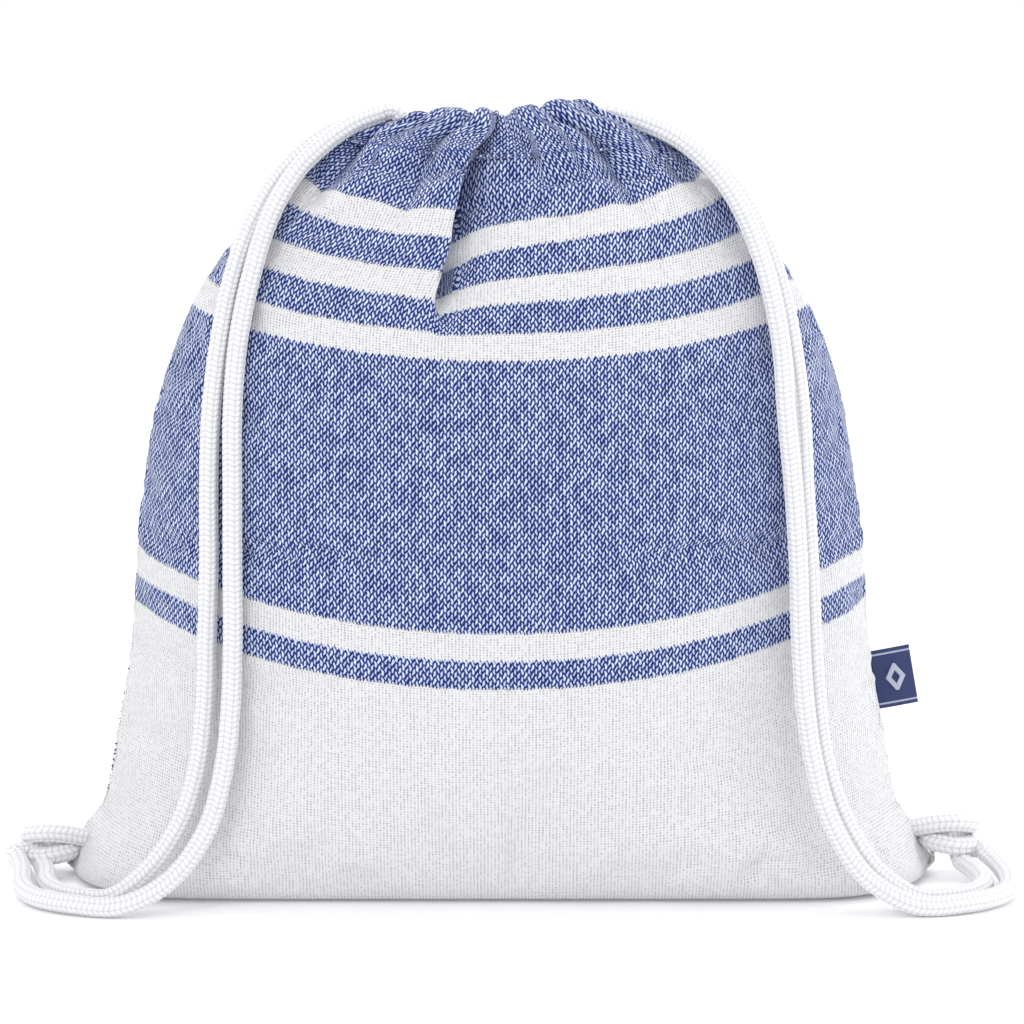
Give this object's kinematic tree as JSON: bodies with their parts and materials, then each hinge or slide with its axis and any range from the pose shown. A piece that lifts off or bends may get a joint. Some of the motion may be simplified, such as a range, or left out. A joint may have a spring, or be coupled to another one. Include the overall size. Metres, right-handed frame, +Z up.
{
  "type": "drawstring backpack",
  "caption": "Filled soft cotton bag with a gathered top; drawcords run through a casing and come down as doubled shoulder straps knotted at the bottom corners.",
  "frame": {"origin": "middle of the base, on the surface the bag stands on", "axes": "+Z up, -Y the front with the straps, +X to the right seen from the front, on the label's side"},
  "size_m": [0.4236, 0.1539, 0.33],
  "materials": {
    "striped_cotton": "matte flat-woven cotton, blue with white bands",
    "seam_allowance": "matte overlocked cotton edges",
    "sewing_thread": "spun polyester thread",
    "braided_cord": "soft matte braided cotton",
    "woven_label": "fine woven polyester",
    "label_weft": "woven polyester thread"
  },
  "bodies": {
    "bag": {"front_panel": "striped_cotton", "back_panel": "striped_cotton", "left_side_seam": "seam_allowance", "right_side_seam": "seam_allowance", "bottom_seam": "seam_allowance", "front_casing": "striped_cotton", "back_casing": "striped_cotton", "front_casing_stitching": "sewing_thread", "back_casing_stitching": "sewing_thread", "left_casing_bartack": "sewing_thread", "right_casing_bartack": "sewing_thread", "left_corner_eyelet": "sewing_thread", "right_corner_eyelet": "sewing_thread", "left_cord_in_casing": "braided_cord", "right_cord_in_casing": "braided_cord", "left_knot": "braided_cord", "right_knot": "braided_cord"},
    "left_strap": {"left_strap_front_strand": "braided_cord", "left_strap_rear_strand": "braided_cord"},
    "right_strap": {"right_strap_front_strand": "braided_cord", "right_strap_rear_strand": "braided_cord"},
    "label": {"side_label": "woven_label", "label_emblem": "label_weft"}
  },
  "joints": [
    {"name": "left_strap_swing", "type": "hinge", "parent": "bag", "child": "left_strap", "pos_m": [-0.1935, -0.004, 0.012], "axis": [-0.4246, -0.0206, -0.9051], "range_deg": [0, 100]},
    {"name": "right_strap_swing", "type": "hinge", "parent": "bag", "child": "right_strap", "pos_m": [0.1935, -0.004, 0.012], "axis": [-0.4246, 0.0206, 0.9051], "range_deg": [0, 100]},
    {"name": "label_flap", "type": "hinge", "parent": "bag", "child": "label", "pos_m": [0.159, 0, 0.083], "axis": [-0.1736, 0, 0.9848], "range_deg": [-60, 60], "stiffness_Nm_per_rad": 0.0002}
  ]
}
